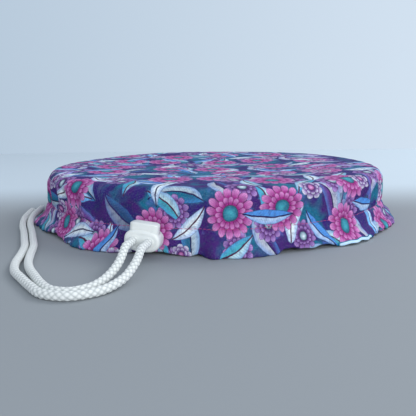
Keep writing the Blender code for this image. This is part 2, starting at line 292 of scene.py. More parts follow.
def even_points(fine, count, length):
    """Points at equal steps along a line, up to a length of it."""
    run = [0.0]
    for a, b in zip(fine, fine[1:]):
        run.append(run[-1] + (b - a).length)
    found = []
    at = 0
    for step in range(count + 1):
        goal = length * step / count
        while at < len(run) - 2 and run[at + 1] < goal:
            at += 1
        found.append(fine[at].lerp(fine[at + 1], (goal - run[at]) / (run[at + 1] - run[at])))
    return found


def ring_depth(side):
    """How far in from the lock's middle a hole's axis meets the ring inside the hem."""
    start = lock_frame @ Vector((side * hole_spacing / 2, 0, 0)) - Vector((0, centre_shift, 0))
    inward = lock_frame.to_3x3() @ Vector((0, 1, 0))
    along = start.xy.dot(inward.xy)
    return -along - math.sqrt(along**2 - start.xy.length_squared + ring_radius**2)


def tail_path(side):
    """The middle line of the tail on one side, from its buttonhole to its bare end."""
    depth = ring_depth(side) - cord_bend - cord_joint_gap
    front = -barrel_depth / 2
    slid = front - slide_travel
    depths = (depth, 0, front, slid - slide_run_out, slid - slide_travel)
    points = [lock_frame @ Vector((side * hole_spacing / 2, y, 0)) for y in depths]
    middle = [Vector((x * mm, centre_shift + y * mm)) for x, y, lift, apart in tail_route]
    for i, (x, y, lift, apart) in enumerate(tail_route):
        ahead = (middle[min(i + 1, len(middle) - 1)] - middle[max(i - 1, 0)]).normalized()
        spot = middle[i] + Vector((-ahead.y, ahead.x)) * side * apart * mm / 2
        points.append(Vector((*spot, ground + lift * mm)))
    fine = smooth_route(points)
    for point in fine:
        point.z = max(point.z, ground)
    length = tail_length + (tail_length_difference if side == 1 else 0)
    return even_points(fine, tail_steps, length), length


def braid_relief(around, along):
    """Height from 0 to 1 of two sets of yarns that cross over and under each other."""
    first = around + along
    second = around - along
    over = np.cos(np.pi * (np.floor(first) + np.floor(second)))
    across_first = np.sin(np.pi * (first % 1))
    across_second = np.sin(np.pi * (second % 1))
    lifted = 0.5 + 0.5 * over
    up = across_first**0.6 * (0.35 + 0.65 * across_second) * lifted
    return up + across_second**0.6 * (0.35 + 0.65 * across_first) * (1 - lifted)


def skin_faces(rings, count, turned=False):
    """Faces over rings of points, closed at either end by a fan to a middle point after them."""
    faces = []
    for i in range(rings - 1):
        for j in range(count):
            k = (j + 1) % count
            faces.append((i * count + j, i * count + k, (i + 1) * count + k, (i + 1) * count + j))
    last = (rings - 1) * count
    for j in range(count):
        k = (j + 1) % count
        faces.append((rings * count, k, j))
        faces.append((rings * count + 1, last + j, last + k))
    return [face[:1] + face[:0:-1] for face in faces] if turned else faces


def write_values(item, name, values, kind="FLOAT"):
    """A value or a direction at each point of a mesh, for its material or its nodes to read."""
    made = item.data.attributes.new(name, kind, "POINT")
    field = "value" if kind == "FLOAT" else "vector"
    made.data.foreach_set(field, np.ravel(values).astype(np.float32))


def braided_tube(name, path, sides=40):
    """A closed tube along a path, with a braid's relief on it and its height as an attribute."""
    points = np.array([tuple(p) for p in path])
    count = len(points)
    tangents = np.gradient(points, axis=0)
    tangents /= np.linalg.norm(tangents, axis=1)[:, None]
    normal = np.cross(tangents[0], (0, 0, 1.0))
    normals = []
    for tangent in tangents:
        normal = normal - tangent * normal.dot(tangent)
        normal /= np.linalg.norm(normal)
        normals.append(normal)
    normals = np.array(normals)
    binormals = np.cross(tangents, normals)
    step = np.linalg.norm(np.diff(points, axis=0), axis=1).mean()
    turn = np.arange(sides) / sides
    along = np.arange(count) * step / braid_cell
    relief = braid_relief(turn[None, :] * braid_carriers, along[:, None])
    radius = cord_radius * (braid_low + braid_rise * relief)
    ends = np.minimum(np.arange(count), np.arange(count)[::-1]) * step
    radius *= (1 - end_taper * np.clip(1 - ends / end_taper_length, 0, 1) ** 2)[:, None]
    angle = 2 * math.pi * turn
    ring = (np.cos(angle)[None, :, None] * normals[:, None, :]
            + np.sin(angle)[None, :, None] * binormals[:, None, :])
    skin = points[:, None, :] + ring * radius[:, :, None]
    verts = np.vstack([skin.reshape(-1, 3), points[0] - tangents[0] * end_dome,
                       points[-1] + tangents[-1] * end_dome])
    tube = mesh_object(name, verts.tolist(), skin_faces(count, sides))
    write_values(tube, "relief", np.append(relief.ravel(), (end_relief, end_relief)))
    tube.data.shade_smooth()
    return tube


def maths(operation, *values, clamp=False):
    """A Math node's result, from numbers or sockets."""
    made = add_node(tree_of(*values), "ShaderNodeMath", dict(enumerate(values)),
                    operation=operation, use_clamp=clamp)
    return made.outputs[0]


def noise_field(vector, scale, detail=2.0, roughness=0.5):
    given = {"Vector": vector, "Scale": scale, "Detail": detail, "Roughness": roughness}
    return add_node(vector.id_data, "ShaderNodeTexNoise", given).outputs


def cloudiness(shader, scale, detail=2.0):
    """Even noise all through a piece."""
    return noise_field(texture_point(shader.id_data), scale, detail)["Fac"]


def attribute(tree, name):
    return add_node(tree, "ShaderNodeAttribute", attribute_name=name).outputs["Fac"]


def add_bump(shader, height, distance, strength):
    given = {"Height": height, "Distance": distance, "Strength": strength}
    feed(shader, "Normal", add_node(shader.id_data, "ShaderNodeBump", given).outputs["Normal"])


cord_white, shader = new_material("white braided polyester", {
    "Roughness": 0.62, "Sheen Weight": 0.25, "Sheen Roughness": 0.4})
yarn = cloudiness(shader, 2600)
lit = maths("MULTIPLY_ADD", yarn, 0.25, attribute(shader.id_data, "relief"), clamp=True)
feed(shader, "Base Color", blend(lit, cord_shaded, cord_lit))
add_bump(shader, yarn, 0.08 * mm, 0.6)

for side, node in ((-1, "cord_tail_left"), (1, "cord_tail_right")):
    path, length = tail_path(side)
    tail = braided_tube("braided_" + node, path)
    tail.data.materials.append(cord_white)
    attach(tail, "cloth")
    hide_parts(node)
    tuple(path[0])
    [tuple(p) for p in path[::6] + path[-1:]]

# Cover: one round of printed cotton with a thin laminate behind it, cut flat, its edge folded in
# and stitched as a casing, and gathered on the drawcord so that the drop falls in soft folds.
rim_bend = 7 * mm
seat_width = 10 * mm
panel_sag = 3 * mm
hem_overlap = 1.3 * mm
layer_gap = 0.3 * mm
hem_roll = 1.0 * mm
hem_turn = ((0.0, 1.0), (-0.4, 0.0), (-1.4, 0.0), (-3.2, 2.6))
inner_layer = ((0.24, -1.4), (-0.79, -0.79), (-1.0, 0.1), (-0.55, 0.97))
hem_shoulder = 1.6
# How many of each wave go round the cover, and the slower waves that make them uneven: how many
# of those, their strength and their start.
ruffles = (20, ((2, 1.1, 0.7), (3, 0.9, 2.0)))
fine_folds = (47, ((3, 1.7, 1.0), (7, 0.9, 0.0)))
frills = (91, ((4, 2.1, 0.5), (9, 1.3, 2.0)))
puckers = (103, ((9, 2.5, 0.0),))
ruffles_from, ruffles_full = math.radians(55), math.radians(100)
flare_from, flare_full = math.radians(8), math.radians(60)
wall_wave = 0.9 * mm
edge_lift = 2.2 * mm
gathers_start = 3 * mm
edge_start = 3 * mm
edge_full = 2 * mm
seam_band = 1 * mm
# Each fold's place in degrees from the front, its half width and how far it stands out, in waves.
folds = (
    (-5.5, 7.5, 2.0),
    (1.4, 1.6, 1.6),
    (4.5, 1.8, -0.9),
    (16.5, 6.5, -0.85),
    (29.0, 4.5, 1.2),
    (37.0, 5.5, 2.2),
    (53.0, 6.0, -1.1),
    (74.0, 6.0, 1.25),
    (-18.0, 2.5, -1.2),
    (-22.5, 5.0, -0.6),
    (-29.0, 2.5, -0.9),
    (-36.5, 3.2, 0.8),
    (-43.0, 3.0, 0.6),
    (-53.0, 7.0, -0.5),
    (-70.0, 6.0, 0.35),
)
lower_stitch_height = 2.9 * mm
edge_roll_place, edge_roll_width = -39, 6.5
edge_roll_out, edge_roll_up, edge_roll_height = 1.6 * mm, 1.1 * mm, 5 * mm
edge_roll_from, edge_roll_full = rim_radius + hem_flare - 4 * mm, rim_radius + hem_flare - 1 * mm
# Where the fabric hangs loosest, in degrees from the front, and how far round it does.
side_places, side_width = (64, -62), 34
back_place, back_width = 180, 85
least_loose = 0.2
fine_fold, fine_fold_fade = 1.15 * mm, 5 * mm
fine_fold_lean, lean_length = 1.6, 6 * mm
lean_places, lean_width = (66, -66), 50
frill_out, frill_up = 0.9 * mm, 0.6 * mm
seam_pucker, pucker_height, least_pucker = 0.28 * mm, 2.6 * mm, 0.4
stitch_groove = 0.25 * mm
grooves = ((stitch_height, 0.7 * mm), (lower_stitch_height, 0.6 * mm))
rim_crease, crease_width = 0.24 * mm, 36
crease_from, crease_full = 0.74 * rim_radius, 0.94 * rim_radius
panel_swell = 0.3 * mm
swell_count, swell_start = 5, 0.6
panel_rings, bend_rings, wall_rings, hem_steps = 12, 8, 12, 4
columns = 560


def smooth(start, end, value):
    share = np.clip((value - start) / (end - start), 0, 1)
    return share * share * (3 - 2 * share)


def from_front(angle):
    """The size of an angle measured from the front either way."""
    return np.abs((angle + math.pi) % (2 * math.pi) - math.pi)


def bell(angle, place, width):
    """1 at a place in degrees from the front, fading to either side of it."""
    apart = (np.degrees(angle) - place + 180) % 360 - 180
    return np.exp(-((apart / width) ** 2))


def bells(angle, places, width):
    return sum(bell(angle, place, width) for place in places)


def phase(angle, count, drift):
    """How far on an uneven wave round the cover is at an angle."""
    return count * angle + sum(strength * np.sin(times * angle + start)
                               for times, strength, start in drift)


def gathering(angle):
    """How far the fabric stands out (above 0) or tucks in (below 0) at an angle from the front."""
    wave = smooth(ruffles_from, ruffles_full, from_front(angle)) * np.cos(phase(angle, *ruffles))
    for place, width, out in folds:
        wave = wave + out * bell(angle, place, width)
    return np.maximum(-1.0, wave)


def gathered(radius, height, angle, outside):
    """Where the gathered fabric holds a point of the evenly turned cover, as arrays."""
    wave = gathering(angle)
    outer = np.where(radius > ring_radius, 1.0, 0.0)
    hang = smooth(rim_height - gathers_start, stitch_height, height)
    edge = smooth(cord_height - edge_start, edge_full, height)
    casing = smooth(stitch_height, stitch_height - seam_band, height) * (1 - edge)
    size = wall_wave + (edge_wave - wall_wave) * edge
    out = np.where(outer > 0, size * (wave + casing),
                   size * (1 - casing / 2) * (wave - casing * np.maximum(1.0, wave)))
    out = hang * out + side_flare * edge * smooth(flare_from, flare_full, from_front(angle))
    up = edge_lift * edge * np.maximum(0.0, -wave)
    # Along one stretch on the right the edge rolls outwards.
    roll = bell(angle, edge_roll_place, edge_roll_width) * outer
    roll = roll * smooth(edge_roll_height, 0.0, height)
    out = out + edge_roll_out * roll
    up = up + edge_roll_up * roll * smooth(edge_roll_from, edge_roll_full, radius)
    # Fine folds on the drop, loose at the sides and the back, that lean one way and the other.
    loose = bells(angle, side_places, side_width) + bell(angle, back_place, back_width)
    loose = least_loose + (1 - least_loose) * np.clip(loose, 0, 1)
    lean = fine_fold_lean * np.sin((height - stitch_height) / lean_length)
    fine = np.sin(phase(angle, *fine_folds) + lean * bells(angle, lean_places, lean_width))
    drop = np.where(radius > rim_radius - rim_bend, 1.0, 0.0)
    wall = smooth(rim_height, rim_height - 1.6 * rim_bend, height)
    wall = wall * smooth(stitch_height - seam_band, stitch_height + fine_fold_fade, height)
    out = out + drop * loose * fine_fold * fine * wall
    # Small frills on the edge, puckers along the upper seam and a groove under both seams.
    small = np.sin(phase(angle, *frills))
    out = out + outer * loose * frill_out * (0.5 + 0.5 * small) * edge
    up = up + loose * frill_up * (0.5 - 0.5 * small) * edge
    seam = np.exp(-(((height - stitch_height) / pucker_height) ** 2))
    seam = seam * (least_pucker + (1 - least_pucker) * loose)
    out = out + outer * seam_pucker * seam * np.sin(phase(angle, *puckers))
    groove = sum(np.exp(-(((height - place) / width) ** 2)) for place, width in grooves)
    out = out - outside * outer * stitch_groove * groove
    # Creases that run over the rim at the sides, and a slow swell of the rim.
    rim = smooth(crease_from, crease_full, radius)
    rim = rim * np.where(height > rim_height - rim_bend, 1.0, 0.0)
    rim = rim * bells(angle, side_places, crease_width)
    up = up - rim * rim_crease * (1 + fine)
    swell = smooth(rim_height - 2 * rim_bend, rim_height - rim_bend, height)
    swell = swell * smooth(0.5 * rim_radius, rim_radius, radius)
    up = up + panel_swell * np.sin(swell_count * angle + swell_start) * swell
    reach = radius + out
    across, ahead = -reach * np.sin(angle), centre_shift - reach * np.cos(angle)
    return np.stack([across, ahead, height + up], axis=-1)


def fabric_line():
    """Radius and height of the fabric's middle, from the panel's centre to the hem's raw edge."""
    top = rim_height - fabric / 2
    side = rim_radius - fabric / 2
    bend_centre = (side - rim_bend, top - rim_bend)
    seat_inner = bend_centre[0] - seat_width
    line = []
    for share in np.linspace(0, 1, panel_rings):
        line.append((seat_inner * share, top - panel_sag * (1 - share * share) ** 2))
    line.append((bend_centre[0] - seat_width / 2, top))
    for turn in np.radians(np.linspace(90, 0, bend_rings)):
        line.append((bend_centre[0] + rim_bend * math.cos(turn),
                     bend_centre[1] + rim_bend * math.sin(turn)))
    last = line[-1]
    for share in np.linspace(0, 1, wall_rings)[1:]:
        line.append((last[0] + (wall_radius - last[0]) * share,
                     last[1] + (stitch_height - last[1]) * share))
    edge = rim_radius + hem_flare
    inside = wall_radius - fabric - layer_gap
    knots = [line[-2], line[-1], (ring_radius + channel_reach, cord_height),
             (edge - hem_shoulder * hem_roll, cord_height / 2)]
    for across, up in hem_turn:
        knots.append((edge + across * hem_roll, fabric / 2 + up * hem_roll))
    for across, up in inner_layer:
        knots.append((ring_radius + across * channel_reach, cord_height + up * channel_reach))
    knots.append((inside, stitch_height + layer_gap))
    knots.append((inside, stitch_height + hem_overlap))
    knots = [Vector(knot) for knot in knots]
    for a, b, c, d in zip(knots, knots[1:], knots[2:], knots[3:] + [knots[-1]]):
        for step in range(1, hem_steps + 1):
            t = step / hem_steps
            spot = (b * (2 * t**3 - 3 * t**2 + 1) + (c - a) / 2 * (t**3 - 2 * t**2 + t)
                    + c * (3 * t**2 - 2 * t**3) + (d - b) / 2 * (t**3 - t**2))
            line.append((spot.x, spot.y))
    return np.array(line)


def offset_line(line, distance):
    ahead = np.gradient(line, axis=0)
    ahead /= np.linalg.norm(ahead, axis=1)[:, None]
    moved = line + np.stack([-ahead[:, 1], ahead[:, 0]], axis=1) * distance
    moved[0, 0] = 0.0
    moved[:, 1] = np.maximum(moved[:, 1], 0.02 * mm)
    return moved


line = fabric_line()
flat_radius = np.concatenate([[0], np.cumsum(np.linalg.norm(np.diff(line, axis=0), axis=1))])
outside_line = offset_line(line, fabric / 2)
inside_line = offset_line(line, -fabric / 2)
profile = np.vstack([outside_line[1:], inside_line[:0:-1]])
cut_radius = np.concatenate([flat_radius[1:], flat_radius[:0:-1]])
is_outside = np.concatenate([np.ones(len(line) - 1), np.zeros(len(line) - 1)])
angles = 2 * math.pi * np.arange(columns) / columns
rows = len(profile)
grid = gathered(profile[:, :1], profile[:, 1:], angles[None, :], is_outside[:, None])
poles = np.array([[0, centre_shift, outside_line[0, 1]], [0, centre_shift, inside_line[0, 1]]])
cover_points = np.vstack([grid.reshape(-1, 3), poles])
cover_faces = skin_faces(rows, columns, turned=True)
cover = mesh_object("gathered_cover", cover_points.tolist(), cover_faces)
# The print lies on the flat cut: its map is the fabric's own flat radius and angle, in metres.
flat = np.stack([np.sin(angles), np.cos(angles)], axis=-1) * -cut_radius[:, None, None]
flat = np.vstack([flat.reshape(-1, 2), np.zeros((2, 2))])
corner_vertices = np.empty(len(cover.data.loops), dtype=np.int64)
cover.data.loops.foreach_get("vertex_index", corner_vertices)
cut_map = cover.data.uv_layers.new(name="cut")
cut_map.data.foreach_set("uv", flat[corner_vertices].ravel().astype(np.float32))
write_values(cover, "back_side", np.append(np.repeat(1 - is_outside, columns), (0, 1)))
# Where the edge rolls outwards, the print by the fold turns plain teal.
# Painted highlight: a pale line along the rolled fold, inside the teal band.
fold_radius = float(flat_radius[np.argmin(line[:, 1])])
near_fold = smooth(3.4 * mm, 2.9 * mm, np.abs(fold_radius - cut_radius + 0.6 * mm))
rolled = smooth(0.2, 0.5, bell(angles, edge_roll_place, edge_roll_width))
edge_highlight_share = near_fold[:, None] * rolled[None, :]
write_values(cover, "turned_edge_highlight", np.append(edge_highlight_share.ravel(), (0, 0)))
cover.data.shade_smooth()


def cord_turn(side, share_from=0.0, steps=5):
    """The bend from the casing's ring into a hole of the lock, from the ring outwards."""
    centre = Vector((0, centre_shift, 0))
    inward = lock_frame.to_3x3() @ Vector((0, 1, 0))
    depth = ring_depth(side)
    crossing = lock_frame @ Vector((side * hole_spacing / 2, depth, 0)) - centre
    angle = math.atan2(-crossing.x, -crossing.y) - side * cord_bend / ring_radius

    def ring_point(turn):
        away = Vector((-math.sin(turn), -math.cos(turn), 0))
        return centre + away * ring_radius + Vector((0, 0, cord_height))

    handle = cord_bend_handle * cord_bend
    start = ring_point(angle)
    tangent = (ring_point(angle + side * 0.001) - start).normalized()
    end = lock_frame @ Vector((side * hole_spacing / 2, depth - cord_bend, 0))
    a, b, c, d = start, start + tangent * handle, end + inward * handle, end
    bend = []
    for step in range(steps + 1):
        t = share_from + (1 - share_from) * step / steps
        rest = 1 - t
        bend.append(a * rest**3 + b * 3 * t * rest**2 + c * 3 * t * t * rest + d * t**3)
    return angle, bend, ring_point


def settle(item):
    """Leaves an object the plain mesh that its modifiers or its bevel give it."""
    bpy.context.view_layer.update()
    seen = item.evaluated_get(bpy.context.evaluated_depsgraph_get())
    mesh = bpy.data.meshes.new_from_object(seen)
    item.modifiers.clear()
    if item.type == "MESH":
        item.data = mesh
    return mesh


def round_bar(name, points, radius, sides=24):
    """A plain round bar along a few points."""
    curve = bpy.data.curves.new(name, "CURVE")
    curve.dimensions = "3D"
    curve.bevel_depth = radius
    curve.bevel_resolution = sides // 4 - 2
    curve.use_fill_caps = True
    spline = curve.splines.new("POLY")
    spline.points.add(len(points) - 1)
    for spot, p in zip(spline.points, points):
        spot.co = (*p, 1)
    item = add_to_scene(name, curve)
    mesh = settle(item)
    shape = bmesh.new()
    shape.from_mesh(mesh)
    bmesh.ops.remove_doubles(shape, verts=shape.verts, dist=0.001 * mm)
    shape.to_mesh(mesh)
    shape.free()
    bpy.data.objects.remove(item)
    return add_to_scene(name, mesh)


def carve(item, cutters):
    """Takes the cutters out of an object and leaves it a plain mesh."""
    for cutter in cutters:
        taken = item.modifiers.new("taken", "BOOLEAN")
        taken.object = cutter
        taken.solver = "EXACT"
    settle(item)
    for cutter in cutters:
        bpy.data.objects.remove(cutter)


buttonhole_play = 0.45 * mm
outward = lock_frame.to_3x3() @ Vector((0, -1, 0))
buttonholes = []
for side in (-1, 1):
    bend = cord_turn(side, 0.35)[1]
    bend.append(bend[-1] + outward * 4 * cord_radius)
    buttonholes.append(round_bar("buttonhole", bend, cord_radius + buttonhole_play))
carve(cover, buttonholes)


def colour(red, green, blue):
    """A colour from its 0 to 255 values on a screen, as the linear values that a shader takes."""
    shares = (value / 255 for value in (red, green, blue))
    return tuple(v / 12.92 if v <= 0.04045 else ((v + 0.055) / 1.055) ** 2.4 for v in shares)


def scattered(point, cell, shift, scatter):
    """Motif places: the point as seen from the nearest one, turned at random, and two seeds."""
    tree = point.id_data
    given = {0: point, 1: (1 / cell, 1 / cell, 0), 2: (*shift, 0)}
    moved = add_node(tree, "ShaderNodeVectorMath", given, operation="MULTIPLY_ADD").outputs[0]
    given = {"Vector": moved, "Scale": 1, "Randomness": scatter}
    cells = add_node(tree, "ShaderNodeTexVoronoi", given, voronoi_dimensions="2D").outputs
    given = {0: moved, 1: cells["Position"]}
    apart = add_node(tree, "ShaderNodeVectorMath", given, operation="SUBTRACT").outputs[0]
    seeds = add_node(tree, "ShaderNodeSeparateColor", {0: cells["Color"]}).outputs
    given = {"Vector": apart, "Angle": maths("MULTIPLY", seeds[0], 2 * math.pi)}
    turned = add_node(tree, "ShaderNodeVectorRotate", given, rotation_type="Z_AXIS").outputs[0]
    spot = split_up(turned)
    across, along = (maths("MULTIPLY", spot[axis], cell / mm) for axis in ("X", "Y"))
    return across, along, seeds[1], seeds[2]


def shade(value, low, high, first, second):
    """A colour that goes from first at low to second at high."""
    return blend(ramp(value, low, high), first, second)


def step_up(value, start, width):
    """0 below start, 1 above start + width."""
    return ramp(value, start, start + width)


def part_of(value, share):
    return maths("MULTIPLY", value, share)


def petal_round(under, place, reach, petals, tones, heart, present):
    """A plain round of petals in two rings about a disc, painted over the colour under it."""
    across, along, _, other = place
    away = maths("POWER", maths("ADD", part_of(across, across), part_of(along, along)), 0.5)
    turn = maths("ARCTAN2", along, across)
    shown = step_up(other, present, 0.02)
    picture = under
    deep, mid, pale, line_tone, disc, disc_rim = tones
    for size, twist in ((1.0, 0.0), (0.64, math.pi / petals)):
        long = reach * size
        lobes = maths("ABSOLUTE", maths("COSINE", part_of(maths("ADD", turn, twist), petals / 2)))
        lobe = maths("POWER", lobes, 0.45)
        edge = part_of(maths("MULTIPLY_ADD", lobe, 0.3, 0.7), long)
        inside = maths("SUBTRACT", edge, away)
        veins = maths("ABSOLUTE", maths("SINE", part_of(turn, petals * 2.5)))
        body = shade(away, long * 0.35, long * 0.8, deep, mid)
        tips = step_up(away, long * 0.62, long * 0.34)
        body = blend(part_of(tips, 0.85), body, pale)
        body = blend(part_of(step_up(veins, 0.8, 0.2), 0.4), body, deep)
        body = blend(step_up(lobes, 0.02, 0.3), line_tone, body)
        body = blend(step_up(inside, 0.0, 0.6), line_tone, body)
        covered = part_of(step_up(inside, 0.0, 0.25), shown)
        picture = blend(covered, picture, body)
    hub = maths("SUBTRACT", reach * heart, away)
    centre = shade(away, 0.0, reach * heart, disc, disc_rim)
    centre = blend(step_up(hub, 0.0, 0.8), line_tone, centre)
    covered = part_of(step_up(hub, 0.0, 0.25), shown)
    return blend(covered, picture, centre)


def leaf(under, place, long, wide, tones, present, wash):
    """A plain pointed leaf with a midrib, painted over the colour under it."""
    across, along, seed, other = place
    share = maths("DIVIDE", along, long)
    squared = part_of(share, share)
    bow = part_of(maths("SUBTRACT", 1.0, squared), wide)
    bent = maths("MULTIPLY_ADD", squared, wide * 0.7, across)
    beside = maths("ABSOLUTE", bent)
    inside = maths("SUBTRACT", bow, beside)
    first, second, third, line_tone = tones
    body = blend(step_up(seed, 0.35, 0.05), first, second)
    body = blend(step_up(seed, 0.7, 0.05), body, third)
    body = blend(part_of(step_up(bent, 0.0, 0.5), 0.55), body, pale_tone)
    edge_tone = blend(0.6, body, blue_tone)
    body = blend(step_up(inside, 0.3, wide * 0.55), edge_tone, body)
    body = blend(part_of(step_up(wash, 0.5, 0.25), 0.35), body, periwinkle)
    slant = maths("MULTIPLY_ADD", beside, -1.3, part_of(along, 1.9))
    ribs = maths("ABSOLUTE", maths("SINE", slant))
    body = blend(part_of(step_up(ribs, 0.9, 0.1), 0.25), body, line_tone)
    body = blend(step_up(beside, 0.3, 0.3), line_tone, body)
    body = blend(step_up(inside, 0.0, 0.6), line_tone, body)
    covered = part_of(step_up(inside, 0.0, 0.25), step_up(other, present, 0.02))
    return blend(covered, under, body)


indigo = colour(26, 8, 74)
violet = colour(48, 24, 112)
plum = colour(64, 22, 110)
orchid = colour(124, 66, 152)
mauve = colour(160, 108, 190)
lilac = colour(192, 160, 226)
periwinkle = colour(88, 110, 192)
deep_teal = colour(22, 84, 116)
teal = colour(16, 108, 140)
turquoise = colour(70, 178, 196)
blue_tone = colour(80, 150, 228)
light_blue = colour(132, 200, 250)
pale_tone = colour(234, 248, 255)
magenta = colour(136, 22, 108)
hot_pink = colour(174, 54, 148)
rose = colour(228, 160, 222)
wine = colour(76, 12, 58)
laminate_tone, print_showing_through = (0.70, 0.71, 0.78), 0.22

print_cotton, shader = new_material("printed laminated cotton", {
    "Roughness": 0.7, "Specular IOR Level": 0.1})
tree = shader.id_data
cut = add_node(tree, "ShaderNodeUVMap", uv_map="cut").outputs[0]
given = {0: noise_field(cut, 130, 3)["Color"], 1: (1.8 * mm, 1.8 * mm, 0), 2: cut}
point = add_node(tree, "ShaderNodeVectorMath", given, operation="MULTIPLY_ADD").outputs[0]
wash = noise_field(cut, 300, 4, 0.7)["Fac"]
broad = noise_field(cut, 34)["Fac"]
patch = noise_field(cut, 60, 3)["Fac"]
speckle = noise_field(cut, 1500, 3, 0.7)["Fac"]
picture = shade(broad, 0.44, 0.54, teal, plum)
picture = blend(step_up(patch, 0.50, 0.1), picture, violet)
picture = blend(step_up(patch, 0.40, -0.1), picture, periwinkle)
picture = blend(part_of(step_up(wash, 0.5, 0.25), 0.6), picture, deep_teal)
# The layers from the lowest up: the motif, its spacing in mm, shift and scatter, then its size
# in mm, its width or number of petals, its tones, and how rare it is.
for motif, spacing, shift, scatter, *form in (
    (leaf, 32, (3.3, 7.1), 0.75, 18.0, 6.5, (teal, plum, orchid, indigo), 0.0, wash),
    (petal_round, 33, (15.2, 4.4), 0.7, 10.5, 12,
     (indigo, orchid, lilac, wine, pale_tone, teal), 0.3, 0.05),
    (leaf, 30, (11.7, 2.9), 0.8, 15.0, 4.8,
     (pale_tone, turquoise, light_blue, wine), 0.15, wash),
    (petal_round, 43, (5.2, 1.4), 0.55, 15.0, 15,
     (magenta, hot_pink, rose, wine, turquoise, deep_teal), 0.34, 0.08),
    (leaf, 38, (21.3, 14.8), 0.8, 18.0, 4.6, (blue_tone, lilac, pale_tone, indigo), 0.4, wash),
    (petal_round, 52, (8.6, 17.3), 0.8, 8.0, 8,
     (indigo, mauve, pale_tone, indigo, rose, magenta), 0.3, 0.25),
):
    place = scattered(point, spacing * mm, shift, scatter)
    picture = motif(picture, place, *form)
picture = blend(part_of(step_up(wash, 0.45, 0.35), 0.62), picture, indigo)
picture = blend(part_of(step_up(speckle, 0.5, 0.2), 0.12), picture, pale_tone)
# Painted highlight on the rolled edge: a plain teal band, then a pale line on the fold itself.
turned = attribute(tree, "turned_edge_highlight")
picture = blend(step_up(turned, 0.25, 0.15), picture, teal)
picture = blend(step_up(turned, 0.55, 0.15), picture, blend(wash, pale_tone, light_blue))
backed = blend(print_showing_through, laminate_tone, picture)
behind = step_up(attribute(tree, "back_side"), 0.45, 0.1)
feed(shader, "Base Color", blend(behind, picture, backed))
thread_pitch = 0.5 * mm
threads = split_up(cut)
warp, weft = (maths("SINE", part_of(threads[axis], 2 * math.pi / thread_pitch))
              for axis in ("X", "Y"))
add_bump(shader, part_of(warp, weft), 0.05 * mm, 0.5)
cover.data.materials.append(print_cotton)
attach(cover, "cloth")
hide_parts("cover")

# Drawcord: the same braided cord, running round inside the casing; its ends turn outwards
# through the two buttonholes, where the free tails carry on.
left_angle, left_bend, ring_point = cord_turn(-1, steps=12)
right_angle, right_bend, ring_point = cord_turn(1, steps=12)
sweep = 2 * math.pi - (left_angle - right_angle)
ring_steps, drawcord_steps = 720, 1300
ring = [ring_point(left_angle + sweep * i / ring_steps) for i in range(1, ring_steps)]
hidden_path = left_bend[::-1] + ring + right_bend
run = sum((b - a).length for a, b in zip(hidden_path, hidden_path[1:]))
drawcord = braided_tube("braided_drawcord", even_points(hidden_path, drawcord_steps, run), sides=24)
drawcord.data.materials.append(cord_white)
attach(drawcord, "cloth")
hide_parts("drawcord")

# Stitching: two rows of running stitch in magenta thread hold the folded hem, one along the top
# of the casing and one just above the edge, each with its second thread on the inside.
stitch_pitch = 2.8 * mm
stitch_length = 2.25 * mm
thread_size = 0.38 * mm
thread_lift = 0.1 * mm
slope_step = 0.4 * mm
hem_top = 20 * mm
thread_sink, thread_rise = -0.75, 1.2
least_stitch, most_stitch = (0.93, 0.9, 0.9), (1.05, 1.1, 1.1)
thread_dark, thread_light = colour(116, 18, 74), colour(204, 62, 134)


def stitch_nodes():
    """A node group that lays stitches along an edge loop, flat on the cloth."""
    group = bpy.data.node_groups.new("running_stitches", "GeometryNodeTree")
    group.interface.new_socket("Seam", in_out="INPUT", socket_type="NodeSocketGeometry")
    for name in ("Pitch", "Stitch length", "Thread"):
        group.interface.new_socket(name, in_out="INPUT", socket_type="NodeSocketFloat")
    group.interface.new_socket("Seed", in_out="INPUT", socket_type="NodeSocketInt")
    group.interface.new_socket("Material", in_out="INPUT", socket_type="NodeSocketMaterial")
    group.interface.new_socket("Stitches", in_out="OUTPUT", socket_type="NodeSocketGeometry")
    given = add_node(group, "NodeGroupInput").outputs

    def times(name, factor):
        made = add_node(group, "ShaderNodeMath", {0: given[name], 1: factor}, operation="MULTIPLY")
        return made.outputs[0]

    def lay(kind, inputs=None, **settings):
        return add_node(group, kind, inputs, **settings).outputs[0]

    seam = lay("GeometryNodeMeshToCurve", {"Mesh": given["Seam"]})
    spaced = lay("GeometryNodeResampleCurve", {"Curve": seam, "Length": given["Pitch"]},
                 mode="LENGTH")
    sunk = times("Thread", thread_sink)
    start = lay("ShaderNodeCombineXYZ", {0: times("Stitch length", -0.5), 2: sunk})
    middle = lay("ShaderNodeCombineXYZ", {2: times("Thread", thread_rise)})
    end = lay("ShaderNodeCombineXYZ", {0: times("Stitch length", 0.5), 2: sunk})
    thread = lay("GeometryNodeCurveQuadraticBezier",
                 {"Resolution": 6, "Start": start, "Middle": middle, "End": end})
    section = lay("GeometryNodeCurvePrimitiveCircle",
                  {"Resolution": 7, "Radius": times("Thread", 0.5)})
    stitch = lay("GeometryNodeCurveToMesh",
                 {"Fill Caps": True, "Curve": thread, "Profile Curve": section})
    lengthways = lay("FunctionNodeAlignRotationToVector",
                     {"Vector": lay("GeometryNodeInputTangent")}, axis="X")
    away = lay("GeometryNodeInputNamedAttribute", {"Name": "away"}, data_type="FLOAT_VECTOR")
    upright = lay("FunctionNodeAlignRotationToVector", {"Rotation": lengthways, "Vector": away},
                  axis="Z", pivot_axis="X")
    varied = lay("FunctionNodeRandomValue",
                 {"Min": least_stitch, "Max": most_stitch, "Seed": given["Seed"]},
                 data_type="FLOAT_VECTOR")
    laid = lay("GeometryNodeInstanceOnPoints",
               {"Points": spaced, "Instance": stitch, "Rotation": upright, "Scale": varied})
    real = lay("GeometryNodeRealizeInstances", {0: laid})
    smoothed = lay("GeometryNodeSetShadeSmooth", {0: real})
    finished = lay("GeometryNodeSetMaterial", {"Geometry": smoothed, "Material": given["Material"]})
    add_node(group, "NodeGroupOutput", {0: finished})
    return group


